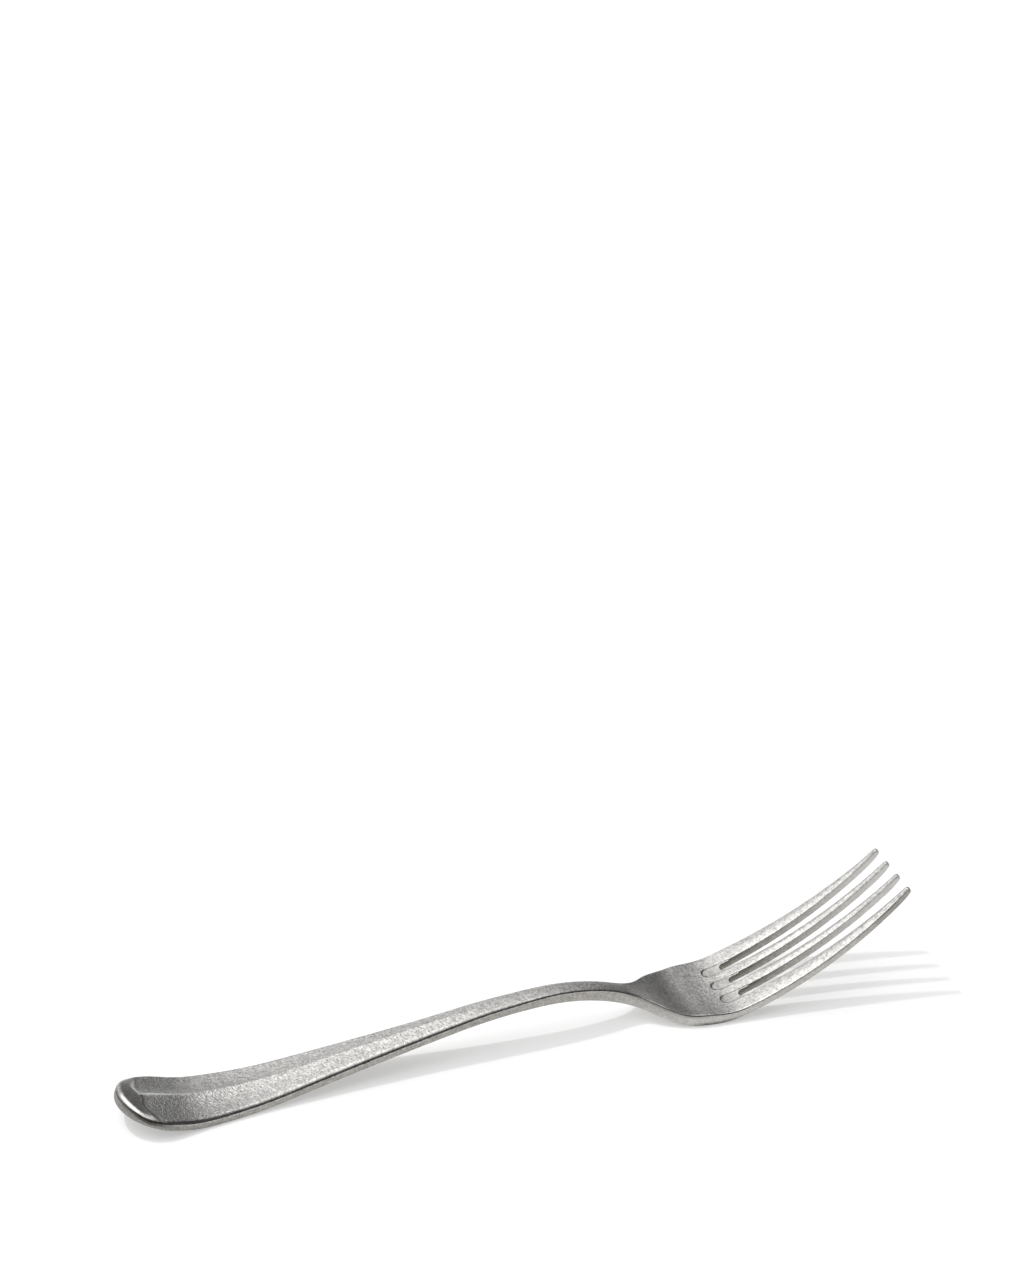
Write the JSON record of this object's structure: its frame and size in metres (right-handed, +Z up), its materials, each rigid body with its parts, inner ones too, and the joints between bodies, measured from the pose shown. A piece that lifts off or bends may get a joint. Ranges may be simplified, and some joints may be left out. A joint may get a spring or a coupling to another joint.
{
  "type": "table fork",
  "caption": "Table fork with curved tines, a shallow bowl, a slim arched neck and a broad fluted handle with a central ridge, for spearing and lifting food.",
  "frame": {"origin": "middle of the fork's box, on the surface that the fork lies on", "axes": "+X from the handle's end to the tips, +Y across the fork, +Z up, with the fork lying on its back"},
  "size_m": [0.2052, 0.0252, 0.0274],
  "materials": {
    "steel": "stonewashed stainless steel, fine mottled satin with small bright flecks"
  },
  "bodies": {
    "root": {"handle_end": "steel", "handle": "steel", "neck": "steel", "bowl": "steel", "tine_1": "steel", "tine_2": "steel", "tine_3": "steel", "tine_4": "steel"}
  },
  "joints": []
}
